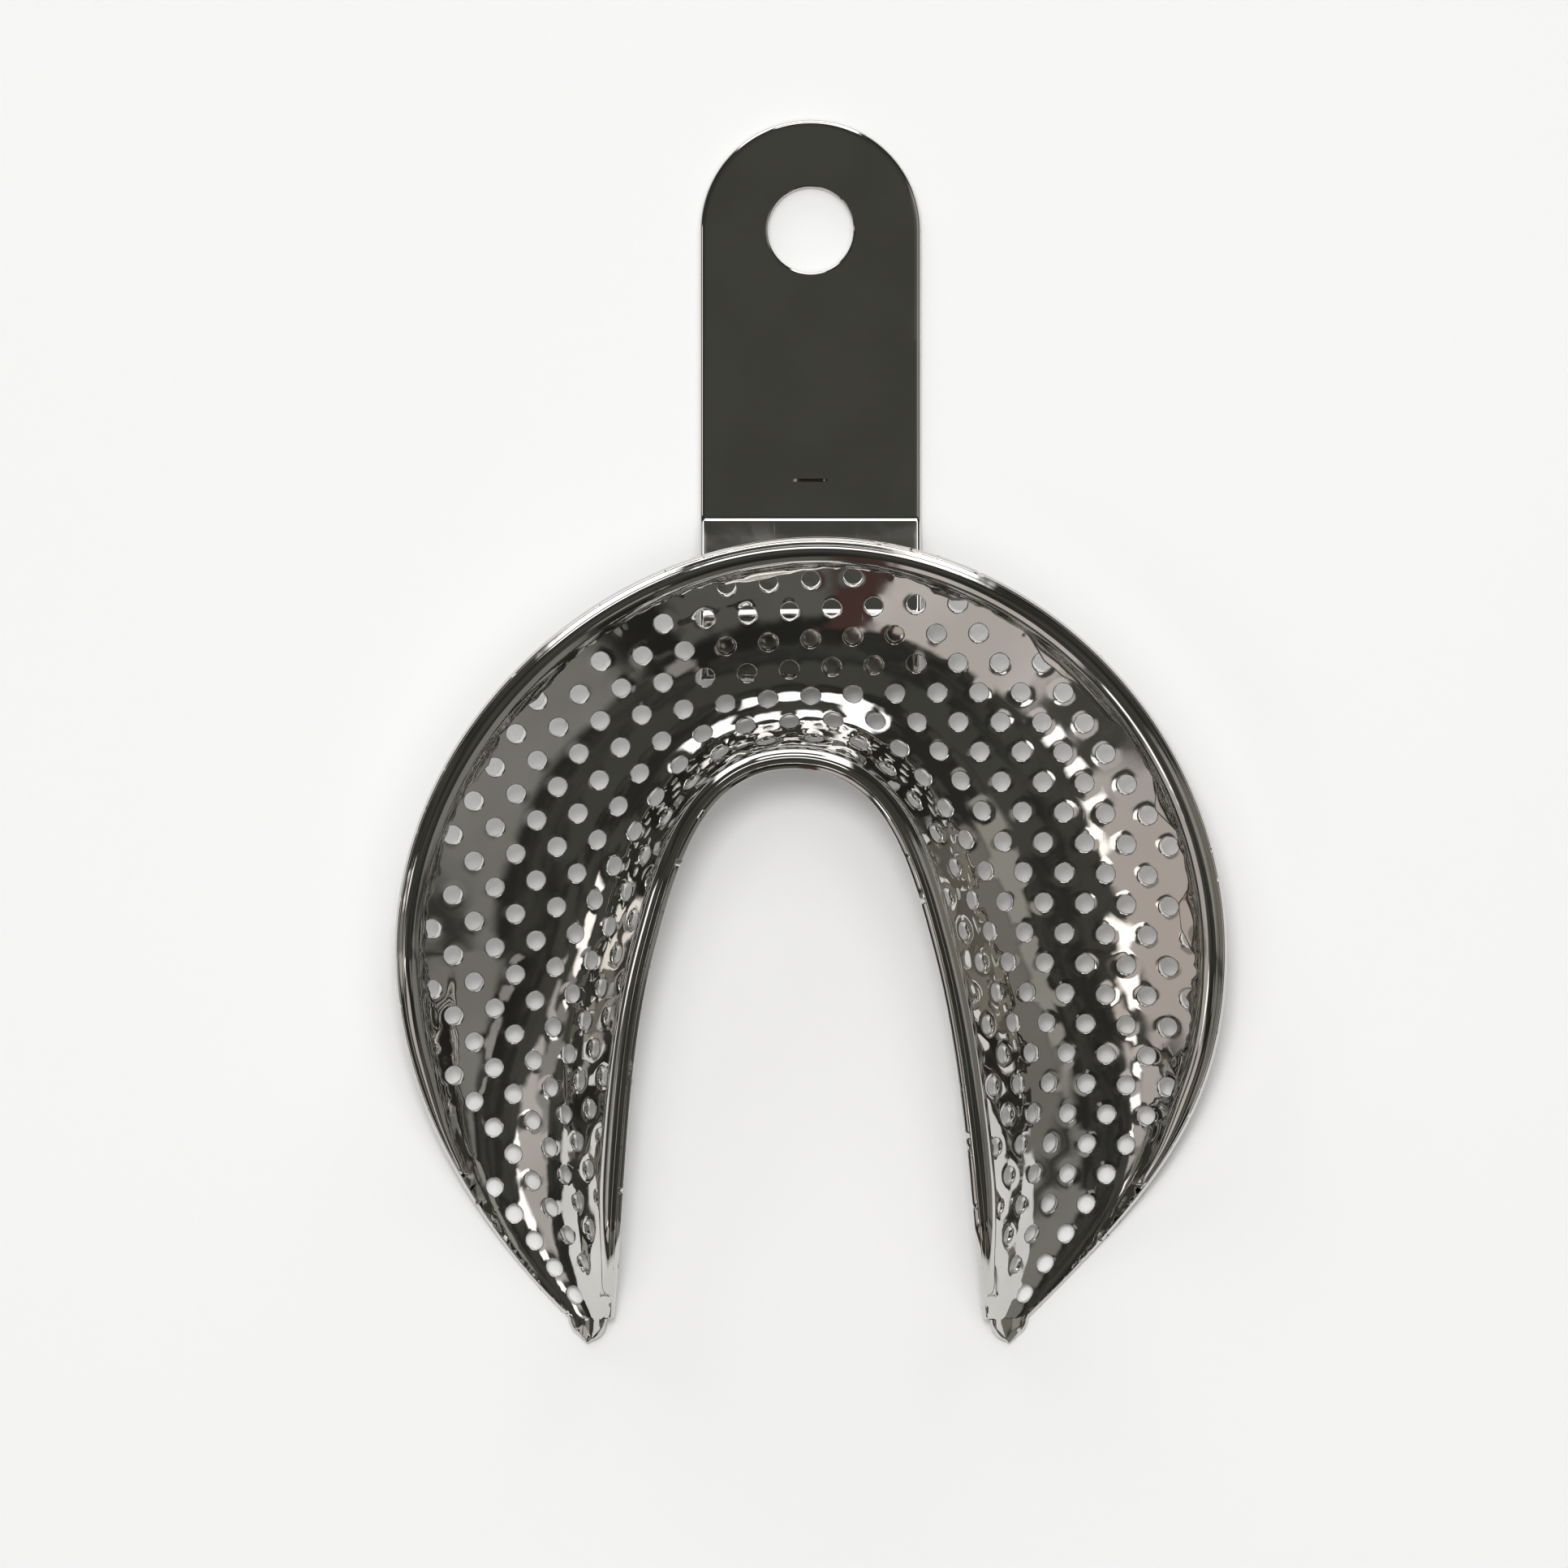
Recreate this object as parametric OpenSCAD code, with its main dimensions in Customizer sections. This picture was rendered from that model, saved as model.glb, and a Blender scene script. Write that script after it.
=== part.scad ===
// Perforated lower impression tray: a pressed horseshoe channel of perforated
// sheet steel, a wire soldered round each of its edges, and a flat handle
// brazed under the front of the channel.
// The arch lies in the XY plane with its handle towards +Y, and its channel
// opens upwards. The origin is at the middle of the length, on the surface
// that the handle and the two heels rest on.

/* [Arch] */
// Width of the arch across its outer edge
arch_w = 75; // [62:0.5:90]
// Length of the arch from its front edge to its heels
arch_len = 72.7; // [60:0.1:88]
// Width of the channel at the front
front_channel = 20.9; // [17:0.1:25.2]
// Width of the tongue space level with the widest part of the arch
tongue_w = 25.2; // [21:0.1:30.4]
// Angle at which each side of the tongue space opens towards the heels
tongue_flare = 14.7; // [12:0.1:18]
// Width of the tongue space between the heels
heel_gap = 33.3; // [27.7:0.1:40]
// Width of each heel where its end starts to round
heel_w = 4.3; // [3.5:0.1:5.2]
// Share of a side's length over which it stays near full width
side_fullness = 0.37; // [0.3:0.01:0.42]
// Difference in fullness between the right and the left side, from hand forming
side_lean = 0.12; // [-0.12:0.01:0.12]
// Sideways offset of the arch's front edge
front_shift = 0.8; // [-1:0.1:1]
// Sideways offset of the tongue space
tongue_shift = -1.5; // [-2:0.1:2]
// Sideways offset of the pair of heels
heel_shift = -1.1; // [-1.5:0.1:1.5]

/* [Channel] */
// Thickness of the sheet
sheet_t = 0.6; // [0.5:0.05:0.9]
// Height of the floor at the front above the heels
floor_rise = 6; // [5:0.1:7.5]
// Height of the outer wall above the floor
buccal_h = 5.5; // [4.5:0.1:6.6]
// Height of the inner wall above the floor at the front
lingual_h = 9; // [7.5:0.1:10.8]
// Extra height of the inner wall beside the heels
lingual_drop = 1.5; // [0.5:0.1:3]
// Final angle of a wall, as a multiple of the angle of its chord
wall_bend = 1.4; // [1.2:0.05:1.6]

/* [Perforations] */
// Diameter of a perforation
hole_d = 1.7; // [1.4:0.05:2.05]
// Distance between perforations in a row
hole_pitch = 3.82; // [3.2:0.02:4.6]
// Distance between rows
row_pitch = 2.72; // [2.4:0.02:3.4]
// Distance from the front of the arch to the first row, on the centre line
first_row = 3.6; // [3:0.1:4.3]
// Bow of the rows from the pressing, across half the arch's width
row_bow = 2.5; // [0:0.1:3]
// Sideways offset of the top of the bow
bow_shift = 19; // [0:0.5:22]

/* [Rims] */
// Width of the half-round rim wire
wire_w = 2.3; // [1.9:0.05:2.8]
// Height of the half-round rim wire
wire_h = 0.95; // [0.75:0.05:1.15]
// Width of bare sheet left outside the wire
rim_lip = 0.2; // [0.15:0.05:0.4]
// Thickness of the solder under the wire
solder_film = 0.06; // [0.04:0.01:0.12]
// Reach of the solder fillet past the wire, towards the channel
solder_toe = 0.6; // [0.4:0.05:0.8]

/* [Handle] */
// Width of the handle
handle_w = 20; // [16.5:0.5:24]
// Thickness of the handle
handle_t = 1.2; // [1:0.05:1.45]
// Reach of the handle past the front of the arch
handle_reach = 37.9; // [31.5:0.1:45.5]
// Diameter of the hanging hole
hang_hole_d = 7.7; // [6.4:0.1:9.3]
// Inside radius of the handle's two bends
bend_r = 1.5; // [1.2:0.1:2]
// Distance from the front of the arch to the handle's outer bend
bend_gap = 2.1; // [1.7:0.1:3]
// Length of the handle's foot under the floor
foot_len = 5; // [4:0.1:6]
// Thickness of the braze between the foot and the floor where it is thinnest
braze_gap = 0.15; // [0.1:0.01:0.3]
// Length of the size mark cut across the handle
mark_len = 2.4; // [1:0.1:4]

/* [Hidden] */

total_len = arch_len + handle_reach;
front_y = total_len / 2 - handle_reach;
arch_r = arch_w / 2;
centre_y = front_y - arch_r;
heel_r = heel_w / 2;
heel_y = heel_r - total_len / 2;
side_run = centre_y - heel_y;
hole_r = hole_d / 2;

half_stations = 26;
tip_angles = [30, 55, 75];
outer_steps = 5;
inner_steps = 7;
wire_steps = 8;
outer_rim_stations = 21;
inner_rim_stations = 25;
bore_fn = 48;
bend_steps = 6;
braze_inset = 0.4;
step = 0.002;

// ---------- small helpers

function bezier(p, u) =
    pow(1 - u, 3) * p[0] + 3 * u * pow(1 - u, 2) * p[1]
    + 3 * u * u * (1 - u) * p[2] + pow(u, 3) * p[3];
function clamp01(x) = min(1, max(0, x));
function ramp(t, from, to) = let (x = clamp01((t - from) / (to - from))) x * x * (3 - 2 * x);
function unit(v) = v / norm(v);
function lift(p, z) = [p[0], p[1], z];

// ---------- plan of the arch; t runs from 0 at the front to 1 at a heel,
// and side is 1 or -1 for the right or left half

function outer_front(side) =
    [[front_shift, front_y], [side * arch_r * 0.535 + front_shift, front_y],
     [side * arch_r, centre_y + arch_r * 0.535], [side * arch_r, centre_y]];
function outer_rear(side) =
    let (heel = [side * (heel_gap / 2 + heel_w) + heel_shift, heel_y],
         full = side_fullness + side * side_lean / 2)
    [[side * arch_r, centre_y], [side * arch_r, centre_y - side_run * full],
     heel + side_run * 0.34 * [side, 1], heel];
function inner_front(side) =
    let (flare = [side * sin(tongue_flare), -cos(tongue_flare)],
         mid = [side * tongue_w / 2 + tongue_shift, centre_y],
         apex_y = front_y - front_channel,
         run = apex_y - centre_y)
    [[tongue_shift, apex_y], [side * tongue_w * 0.32 + tongue_shift, apex_y],
     mid - run * 0.54 * flare, mid];
function inner_rear(side) =
    let (flare = [side * sin(tongue_flare), -cos(tongue_flare)],
         mid = [side * tongue_w / 2 + tongue_shift, centre_y],
         heel = [side * heel_gap / 2 + heel_shift, heel_y])
    [mid, mid + side_run * 0.3 * flare, heel + [-side * 1.1, side_run * 0.31], heel];

function outer_edge(side, t) =
    t < 0.5 ? bezier(outer_front(side), 2 * t) : bezier(outer_rear(side), 2 * t - 1);
function inner_edge(side, t) =
    t < 0.5 ? bezier(inner_front(side), 2 * t) : bezier(inner_rear(side), 2 * t - 1);

// Share of the channel's width that lies outside its lowest line
function floor_share(t) = 0.6 - 0.48 * ramp(t, 0.42, 0.95);
function floor_z(t) = floor_rise * (1 - ramp(t, 0.3, 0.95));
function outer_h(t) = buccal_h - (buccal_h - 0.2) * ramp(t, 0.5, 0.97);
function inner_h(t) =
    (lingual_h + lingual_drop * ramp(t, 0.4, 0.75)) * (1 - 0.8 * ramp(t, 0.86, 1.02));

// A station is [outer edge, inner edge, floor height, outer height, inner height, floor share]
function station(side, t) =
    [outer_edge(side, t), inner_edge(side, t), floor_z(t), outer_h(t), inner_h(t), floor_share(t)];
function tip_station(side, a) =
    let (s = station(side, 1), mid = (s[0] + s[1]) / 2, half = (s[0] - s[1]) / 2,
         back = [0, -norm(half)])
    [mid + half * cos(a) + back * sin(a), mid - half * cos(a) + back * sin(a),
     s[2], s[3] * cos(a), s[4] * cos(a), s[5]];
// q is -1 to 1 along the whole arch, and past that it goes round a tip
function along(q) =
    let (side = q < 0 ? -1 : 1)
    abs(q) <= 1 ? station(side, abs(q)) : tip_station(side, 90 * (abs(q) - 1));

// ---------- section across the channel: an arc that leaves the floor level,
// then a straight wall; w is the distance along the sheet from the lowest line

function wall_angle(d, h) = wall_bend * atan(h / d);
function wall_r(d, h) = let (a = wall_angle(d, h)) (d * sin(a) - h * cos(a)) / (1 - cos(a));
function wall_arc(d, h) = wall_r(d, h) * wall_angle(d, h) * PI / 180;
function wall_len(d, h) =
    let (a = wall_angle(d, h)) wall_arc(d, h) + (h - wall_r(d, h) * (1 - cos(a))) / sin(a);
function wall_point(d, h, w) =
    let (a = wall_angle(d, h), r = wall_r(d, h), arc = wall_arc(d, h), b = w / r * 180 / PI)
    w < arc ? [r * sin(b), r * (1 - cos(b))]
            : [r * sin(a) + (w - arc) * cos(a), r * (1 - cos(a)) + (w - arc) * sin(a)];

function outer_d(s) = s[5] * norm(s[1] - s[0]);
function inner_d(s) = (1 - s[5]) * norm(s[1] - s[0]);
function outer_len(s) = wall_len(outer_d(s), s[3]);
function inner_len(s) = wall_len(inner_d(s), s[4]);
function floor_point(s) = s[0] + (s[1] - s[0]) * s[5];

// Point of the sheet's underside; w is negative towards the outer edge
function under(s, w) =
    let (across = unit(s[1] - s[0]),
         p = w < 0 ? wall_point(outer_d(s), s[3], -w) : wall_point(inner_d(s), s[4], w))
    lift(floor_point(s) + across * (w < 0 ? -p[0] : p[0]), s[2] + p[1]);
function share(s, v) = v < 0 ? v * outer_len(s) : v * inner_len(s);
function under_at(q, v) = let (s = along(q)) under(s, share(s, v));
function normal_at(q, v) =
    let (q0 = max(q - step, -1.999), q1 = min(q + step, 1.999),
         v0 = max(v - 5 * step, -1), v1 = min(v + 5 * step, 1),
         dq = under_at(q1, v) - under_at(q0, v), dv = under_at(q, v1) - under_at(q, v0),
         n = unit(cross(dv, dq)))
    n[2] < 0 ? -n : n;
function over_at(q, v) = under_at(q, v) + sheet_t * normal_at(q, v);

// ---------- grids of points made into closed solids

// Faces of a block whose two skins are grids of the same size
function skin_faces(rows, cols, from, up) =
    [for (i = [0 : rows - 2], j = [0 : cols - 2])
        let (a = from + i * cols + j, b = a + 1, c = a + cols + 1, d = a + cols)
        each up ? [[a, c, b], [a, d, c]] : [[a, b, c], [a, c, d]]];
function wall_faces(ring, other) =
    [for (i = [0 : len(ring) - 1])
        let (j = (i + 1) % len(ring))
        each [[ring[i], other[j], other[i]], [ring[i], ring[j], other[j]]]];
function border(rows, cols, from) = concat(
    [for (j = [0 : cols - 1]) from + j],
    [for (i = [1 : rows - 1]) from + i * cols + cols - 1],
    [for (j = [cols - 2 : -1 : 0]) from + (rows - 1) * cols + j],
    [for (i = [rows - 2 : -1 : 1]) from + i * cols]);
module block(top, bottom) {
    rows = len(top);
    cols = len(top[0]);
    count = rows * cols;
    polyhedron(
        points = concat([for (row = top) each row], [for (row = bottom) each row]),
        faces = concat(skin_faces(rows, cols, 0, true), skin_faces(rows, cols, count, false),
                       wall_faces(border(rows, cols, 0), border(rows, cols, count))),
        convexity = 10);
}
// A tube through rings that follow one section. Each side is split from the section's
// edge side to its other side, so surfaces that touch or nearly touch fold alike
module tube(rings, section) {
    rows = len(rings);
    cols = len(rings[0]);
    polyhedron(
        points = [for (ring = rings) each ring],
        faces = concat(
            [[for (j = [cols - 1 : -1 : 0]) j]],
            [for (i = [0 : rows - 2], j = [0 : cols - 1])
                let (n = (j + 1) % cols, a = i * cols + j, b = i * cols + n)
                each section[n][0] < section[j][0]
                    ? [[a, b, a + cols], [b, b + cols, a + cols]]
                    : [[a, b, b + cols], [a, b + cols, a + cols]]],
            [[for (j = [0 : cols - 1]) (rows - 1) * cols + j]]),
        convexity = 10);
}

// ---------- perforations: a flat staggered grid, pressed into the channel

// Signed side of the station line at t on which p lies
function ahead(p, side, t) =
    let (o = outer_edge(side, t), i = inner_edge(side, t))
    side * ((i - o)[0] * (p - o)[1] - (i - o)[1] * (p - o)[0]);
function find_t(p, side, lo = 0, hi = 1, n = 14) =
    n == 0 ? (lo + hi) / 2
           : let (t = (lo + hi) / 2)
             ahead(p, side, t) > 0 ? find_t(p, side, t, hi, n - 1) : find_t(p, side, lo, t, n - 1);

function side_of(p) = ahead(p, 1, 0) > 0 ? 1 : -1;
// [q, distance from the lowest line, station] of a point of the flat grid
function placed(p) =
    let (side = side_of(p), t = find_t(p, side), s = station(side, t),
         w = (p - floor_point(s)) * unit(s[1] - s[0]))
    [side * t, w, s];
// The wire covers the edges of the outermost perforations a little
function rim_margin(t, last) =
    hole_r + (t < (last + 2) / half_stations ? rim_lip + wire_w * 0.78 : 1);
function is_hole(h) =
    let (t = abs(h[0]), s = h[2], w = h[1])
    t < 0.985 && (w < 0 ? -w < outer_d(s) - rim_margin(t, outer_rim_stations)
                        : w < inner_len(s) - rim_margin(t, inner_rim_stations));

grid_rows = ceil(arch_len / row_pitch);
grid_cols = ceil(arch_w / 2 / hole_pitch);
function bow(x) = row_bow * (1 - pow((x - bow_shift) / arch_r, 2));
function grid_point(i, j) =
    let (x = (j + (i % 2) / 2) * hole_pitch)
    [x, front_y - first_row - i * row_pitch + bow(x) - bow(0)];
holes = [for (i = [-2 : grid_rows], j = [-grid_cols : grid_cols])
    let (p = grid_point(i, j), h = placed(p))
    if (is_hole(h)) [p, h[0], h[1], h[2]]];

// Runs through the sheet: straight down in the floor and outer wall, and
// square to the sheet in the inner wall
module hole_pin(h, r, from, to) {
    v = h[2] / (h[2] < 0 ? outer_len(h[3]) : inner_len(h[3]));
    if (h[2] < 0) {
        translate(lift(h[0], outer_floor(h) + from)) cylinder(r = r, h = to - from, $fn = 24);
    } else {
        n = normal_at(h[1], v);
        translate(under_at(h[1], v) + n * from)
            rotate([0, acos(n[2]), atan2(n[1], n[0])])
            cylinder(r = r, h = to - from, $fn = 24);
    }
}
// Height of the sheet's underside at a hole of the outer wall
function outer_floor(h) =
    let (s = h[3], d = outer_d(s), a = wall_angle(d, s[3]), r = wall_r(d, s[3]), x = -h[2])
    s[2] + (x < r * sin(a) ? r - sqrt(r * r - x * x)
                           : r * (1 - cos(a)) + (x - r * sin(a)) * tan(a));

// ---------- the pieces

station_list = concat(
    [for (i = [len(tip_angles) - 1 : -1 : 0]) -1 - tip_angles[i] / 90],
    [for (i = [-half_stations : half_stations]) i / half_stations],
    [for (a = tip_angles) 1 + a / 90]);
section_list = concat([for (i = [outer_steps : -1 : 1]) -i / outer_steps],
                      [for (i = [0 : inner_steps]) i / inner_steps]);

module tray_shell() {
    color("darkgray") difference() {
        block([for (q = station_list) [for (v = section_list) over_at(q, v)]],
              [for (q = station_list) [for (v = section_list) under_at(q, v)]]);
        for (h = holes) hole_pin(h, hole_r, -2 * sheet_t, 3 * sheet_t);
    }
}

// Frame at a rim: the sheet's upper edge, the way out of the channel, the sheet's normal
function rim_frame(q, v) =
    let (n = normal_at(q, v), edge = over_at(q, v),
         along_rim = unit(over_at(q + step, v) - over_at(q - step, v)),
         out = cross(n, along_rim) * (v > 0 ? -1 : 1))
    [edge, out, n];
function rim_point(f, p) = f[0] - f[1] * p[0] + f[2] * p[1];
// The wire and its solder thin out over the last stations of the rim, most of all
// on the outer rim
function taper(i, v, last) = 1 - (v < 0 ? 0.6 : 0.4) * ramp(abs(i), last - 4, last);
function rim_rings(v, last, shape) =
    [for (i = [-last : last])
        let (f = rim_frame(i / half_stations, v), k = taper(i, v, last))
        [for (p = shape) rim_point(f, k * p)]];
function wire_spot(i) =
    let (a = 180 * i / wire_steps)
    [rim_lip + wire_w / 2 * (1 + cos(a)), solder_film + wire_h * sin(a)];
wire_shape = [for (i = [0 : wire_steps]) wire_spot(i)];
solder_shape = [[rim_lip + wire_w + solder_toe, 0],
                [rim_lip + wire_w + solder_toe * 0.3, wire_h * 0.22],
                wire_spot(1), wire_spot(0), wire_spot(wire_steps), wire_spot(wire_steps - 1),
                [rim_lip * 0.4, 0], [rim_lip, 0], [rim_lip + wire_w, 0]];

function reversed(list) = [for (i = [len(list) - 1 : -1 : 0]) list[i]];
module rim_tube(v, last, section) tube(rim_rings(v, last, section), section);
module outer_rim_wire() color("silver") rim_tube(-1, outer_rim_stations, wire_shape);
module outer_rim_solder() color("lightgray") rim_tube(-1, outer_rim_stations, solder_shape);
module inner_rim_wire() color("silver") rim_tube(1, inner_rim_stations, reversed(wire_shape));
module inner_rim_solder()
    color("lightgray") rim_tube(1, inner_rim_stations, reversed(solder_shape));

// ---------- handle: foot, slope and grip, joined by two bends

lowest_y = front_y - floor_share(0) * front_channel;
foot_z = floor_rise - braze_gap;
foot_start = lowest_y - 0.4;
foot_end = lowest_y + foot_len;
bend_y = front_y + bend_gap;
grip_end = total_len / 2;
hang_y = grip_end - handle_w / 2;
// The slope's angle follows from the drop between the two bends
run_y = bend_y - foot_end;
drop_z = foot_z - handle_t;
bend_sum = 2 * bend_r + handle_t;
slope_len = sqrt(run_y * run_y + pow(drop_z - bend_sum, 2) - bend_sum * bend_sum);
slope_a = atan2(bend_sum, slope_len) - atan2(bend_sum - drop_z, run_y);

// Points of a bend, drawn from one angle to another
function bend(centre, r, from, to) =
    [for (k = [0 : bend_steps]) let (a = from + (to - from) * k / bend_steps)
        centre + r * [cos(a), sin(a)]];
// Side view of the strip, with Y across the page and Z up it
module handle_profile() {
    inner_bend = [foot_end, foot_z - handle_t - bend_r];
    outer_bend = [bend_y, handle_t + bend_r];
    r = bend_r + handle_t;
    polygon(concat(
        [[foot_start, foot_z]], bend(inner_bend, r, 90, 90 - slope_a),
        bend(outer_bend, bend_r, 270 - slope_a, 270), [[grip_end, handle_t], [grip_end, 0]],
        bend(outer_bend, r, 270, 270 - slope_a), bend(inner_bend, bend_r, 90 - slope_a, 90),
        [[foot_start, foot_z - handle_t]]));
}
module handle() {
    color("dimgray") difference() {
        intersection() {
            translate([handle_w / 2, 0, 0]) rotate([90, 0, -90]) mirror([1, 0, 0])
                linear_extrude(height = handle_w) handle_profile();
            linear_extrude(height = floor_rise + handle_t) union() {
                translate([-handle_w / 2, foot_start])
                    square([handle_w, hang_y - foot_start]);
                translate([0, hang_y]) circle(d = handle_w, $fn = 96);
            }
        }
        translate([0, hang_y, -1]) cylinder(d = hang_hole_d, h = handle_t + 2, $fn = bore_fn);
        translate([-mark_len / 2, bend_y + 3, handle_t - 0.1]) cube([mark_len, 0.3, 1]);
    }
}

// Braze that fills the space between the foot and the floor, with the plugs
// that it leaves in the holes above
braze_stations = ceil(half_stations * find_t([handle_w / 2, front_y - 2], 1));
module handle_braze() {
    top = [for (i = [-braze_stations : braze_stations])
        [for (k = [3 : -1 : 0]) under_at(i / half_stations, -k / outer_steps)]];
    color("gray") union() {
        intersection() {
            block(top, [for (row = top) [for (p = row) lift(p, foot_z)]]);
            translate([braze_inset - handle_w / 2, foot_start + braze_inset, 0])
                cube([handle_w - 2 * braze_inset, foot_end - foot_start - braze_inset, buccal_h * 2]);
        }
        for (h = holes)
            if (is_plugged(h)) hole_pin(h, hole_r, -braze_gap / 2, sheet_t * 0.7);
    }
}
// A hole is plugged where the braze lies under the whole of it
function is_plugged(h) =
    h[2] < 0 && abs(h[0][0]) < handle_w / 2 - braze_inset - hole_r
    && h[0][1] > foot_start + braze_inset + hole_r && h[0][1] < foot_end - hole_r;

tray_shell();
outer_rim_wire();
outer_rim_solder();
inner_rim_wire();
inner_rim_solder();
handle();
handle_braze();
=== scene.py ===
import math
import bmesh
import bpy
import numpy as np
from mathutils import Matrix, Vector


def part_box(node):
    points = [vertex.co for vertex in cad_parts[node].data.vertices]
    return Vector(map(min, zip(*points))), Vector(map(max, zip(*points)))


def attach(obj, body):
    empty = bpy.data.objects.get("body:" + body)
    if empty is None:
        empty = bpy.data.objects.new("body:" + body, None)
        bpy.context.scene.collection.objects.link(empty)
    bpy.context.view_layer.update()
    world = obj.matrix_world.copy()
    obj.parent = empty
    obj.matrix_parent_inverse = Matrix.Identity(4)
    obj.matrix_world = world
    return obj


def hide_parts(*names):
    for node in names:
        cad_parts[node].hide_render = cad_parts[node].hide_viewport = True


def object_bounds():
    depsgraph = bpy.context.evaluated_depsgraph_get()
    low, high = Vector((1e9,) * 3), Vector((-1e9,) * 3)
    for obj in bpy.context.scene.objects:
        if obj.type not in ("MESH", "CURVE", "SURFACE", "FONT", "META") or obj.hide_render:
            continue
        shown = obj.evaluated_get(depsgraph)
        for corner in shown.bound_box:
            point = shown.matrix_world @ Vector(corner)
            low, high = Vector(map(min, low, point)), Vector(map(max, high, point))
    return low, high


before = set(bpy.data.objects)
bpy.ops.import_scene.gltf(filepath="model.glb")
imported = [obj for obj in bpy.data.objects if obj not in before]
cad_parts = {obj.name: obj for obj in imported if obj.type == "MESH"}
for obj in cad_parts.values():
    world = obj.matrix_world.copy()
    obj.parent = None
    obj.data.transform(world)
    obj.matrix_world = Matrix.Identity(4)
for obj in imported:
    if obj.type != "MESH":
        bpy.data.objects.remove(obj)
cadBox = [list(corner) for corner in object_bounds()]
boxTop = cadBox[1][2] * 1000 - 0.001  # mm, nothing stands above the design
mm = 0.001  # the shapes below are worked out in millimetres


def boxOf(node):
    low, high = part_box(node)
    return np.array(low) / mm, np.array(high) / mm


shellLow, shellHigh = boxOf("tray_shell")
handleLow, handleHigh = boxOf("handle")

# The pressed surface of the arch

arch = {
    "channelAtFront": 20.9,  # from the outer to the inner edge, on the centre line
    "tongueWidth": 25.2,
    "tongueFlare": 14.7,  # degrees
    "heelGap": 33.3,
    "heelWidth": 4.3,
    "sideFullness": 0.37,
    "sideLean": 0.12,
    "frontShift": 0.8,
    "tongueShift": -1.5,
    "heelShift": -1.1,
    "floorRise": 6.0,
    "outerHeight": 5.5,
    "outerHeelHeight": 0.2,
    "innerHeight": 9.0,
    "innerDrop": 1.5,
    "wallBend": 1.4,
}
archRadius = (shellHigh[0] - shellLow[0]) / 2
frontY = shellHigh[1]
centreY = frontY - archRadius
heelY = arch["heelWidth"] / 2 - handleHigh[1]
sideRun = centreY - heelY


def ramp(x, start, end):
    x = np.clip((x - start) / (end - start), 0, 1)
    return x * x * (3 - 2 * x)


def bezier(points, u):
    a, b, c, d = points
    u = u[:, None]
    return (1 - u) ** 3 * a + 3 * u * (1 - u) ** 2 * b + 3 * u * u * (1 - u) * c + u**3 * d


def spot(x, y, like):
    return np.stack([x + 0 * like, y + 0 * like], 1)


def unit(v):
    return v / np.maximum(np.linalg.norm(v, axis=1), 1e-12)[:, None]


def outerEdge(side, t):
    r, shift = archRadius, arch["frontShift"]
    front = bezier(
        [
            spot(shift, frontY, side),
            spot(side * r * 0.535 + shift, frontY, side),
            spot(side * r, centreY + r * 0.535, side),
            spot(side * r, centreY, side),
        ],
        np.minimum(2 * t, 1),
    )
    heelX = side * (arch["heelGap"] / 2 + arch["heelWidth"]) + arch["heelShift"]
    full = arch["sideFullness"] + side * arch["sideLean"] / 2
    rear = bezier(
        [
            spot(side * r, centreY, side),
            spot(side * r, centreY - sideRun * full, side),
            spot(heelX + sideRun * 0.34 * side, heelY + sideRun * 0.34, side),
            spot(heelX, heelY, side),
        ],
        np.maximum(2 * t - 1, 0),
    )
    return np.where((t < 0.5)[:, None], front, rear)


def innerEdge(side, t):
    flare = math.radians(arch["tongueFlare"])
    flareX, flareY = side * math.sin(flare), -math.cos(flare)
    shift = arch["tongueShift"]
    midX = side * arch["tongueWidth"] / 2 + shift
    apexY = frontY - arch["channelAtFront"]
    run = apexY - centreY
    front = bezier(
        [
            spot(shift, apexY, side),
            spot(side * arch["tongueWidth"] * 0.32 + shift, apexY, side),
            spot(midX - run * 0.54 * flareX, centreY - run * 0.54 * flareY, side),
            spot(midX, centreY, side),
        ],
        np.minimum(2 * t, 1),
    )
    heelX = side * arch["heelGap"] / 2 + arch["heelShift"]
    rear = bezier(
        [
            spot(midX, centreY, side),
            spot(midX + sideRun * 0.3 * flareX, centreY + sideRun * 0.3 * flareY, side),
            spot(heelX - side * 1.1, heelY + sideRun * 0.31, side),
            spot(heelX, heelY, side),
        ],
        np.maximum(2 * t - 1, 0),
    )
    return np.where((t < 0.5)[:, None], front, rear)


# One section of the channel for each entry: t is 0 at the front and 1 at a heel,
# and turn is the angle by which a section past the heel has gone round its end
class Section:
    def __init__(self, side, t, turn):
        outer, inner = outerEdge(side, t), innerEdge(side, t)
        mid, half = (outer + inner) / 2, (outer - inner) / 2
        back = np.stack([0 * t, -np.linalg.norm(half, axis=1)], 1)
        cos, sin = np.cos(turn)[:, None], np.sin(turn)[:, None]
        self.outer = mid + half * cos + back * sin
        self.inner = mid - half * cos + back * sin
        share = 0.6 - 0.48 * ramp(t, 0.42, 0.95)
        gap = self.inner - self.outer
        width = np.linalg.norm(gap, axis=1)
        self.across = unit(gap)
        self.lowest = self.outer + gap * share[:, None]
        self.floor = arch["floorRise"] * (1 - ramp(t, 0.3, 0.95))
        self.outerRun = share * width
        self.innerRun = (1 - share) * width
        rise = arch["outerHeight"]
        self.outerRise = (rise - (rise - arch["outerHeelHeight"]) * ramp(t, 0.5, 0.97)) * np.cos(turn)
        self.innerRise = (
            (arch["innerHeight"] + arch["innerDrop"] * ramp(t, 0.4, 0.75))
            * (1 - 0.8 * ramp(t, 0.86, 1.02))
            * np.cos(turn)
        )
        self.innerLength = wall(self.innerRun, self.innerRise)[3]


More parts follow.
